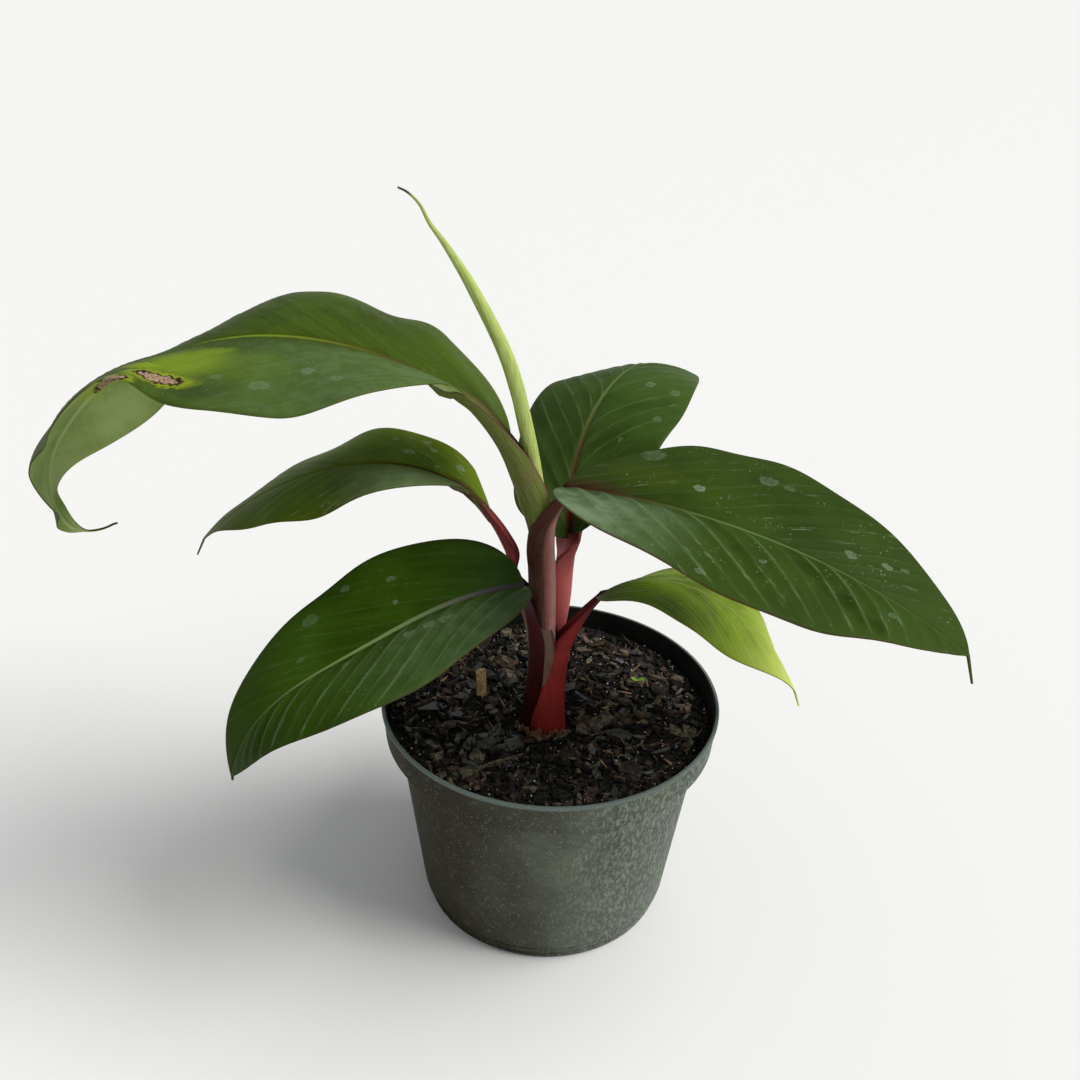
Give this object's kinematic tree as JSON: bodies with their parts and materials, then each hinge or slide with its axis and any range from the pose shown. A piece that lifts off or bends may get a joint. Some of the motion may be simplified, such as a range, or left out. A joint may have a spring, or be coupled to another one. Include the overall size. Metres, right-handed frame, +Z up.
{
  "type": "young banana plant in a nursery pot",
  "caption": "Young banana plant with long arching leaves and one furled leaf, growing in a round plastic nursery pot of bark potting mix.",
  "frame": {"origin": "centre of the pot's flat underside, on the surface it stands on", "axes": "+Z up; -Y is the side the picture is taken from; +X to the right in that view"},
  "size_m": [0.3972, 0.2469, 0.3654],
  "materials": {
    "pot_plastic": "matte dark grey-green moulded plastic with fine pale speckle",
    "potting_mix": "damp dark bark and peat with pale perlite",
    "stem": "smooth waxy red sheaths with fine lengthwise ribs",
    "stalk": "smooth waxy crimson with fine speckle",
    "leaf": "semi-gloss dark green with fine pale side veins and dried water marks",
    "leaf_long": "semi-gloss mid green with yellow-green patches, pale grey-green beneath",
    "leaf_young": "semi-gloss yellow-green",
    "furled_leaf": "satin pale yellow-green with a dry brown thread at its tip"
  },
  "bodies": {
    "root": {"pot": "pot_plastic", "potting_mix": "potting_mix", "pseudostem": "stem", "stalk_long_left": "stalk", "stalk_small_left": "stalk", "stalk_low_left": "stalk", "stalk_broad_right": "stalk", "stalk_upright": "stalk", "stalk_small_right": "stalk", "furled_leaf": "furled_leaf", "leaf_long_left": "leaf_long", "leaf_long_left_tip": "leaf_long", "leaf_small_left": "leaf", "leaf_low_left": "leaf", "leaf_broad_right": "leaf", "leaf_upright": "leaf", "leaf_small_right": "leaf_young"}
  },
  "joints": []
}
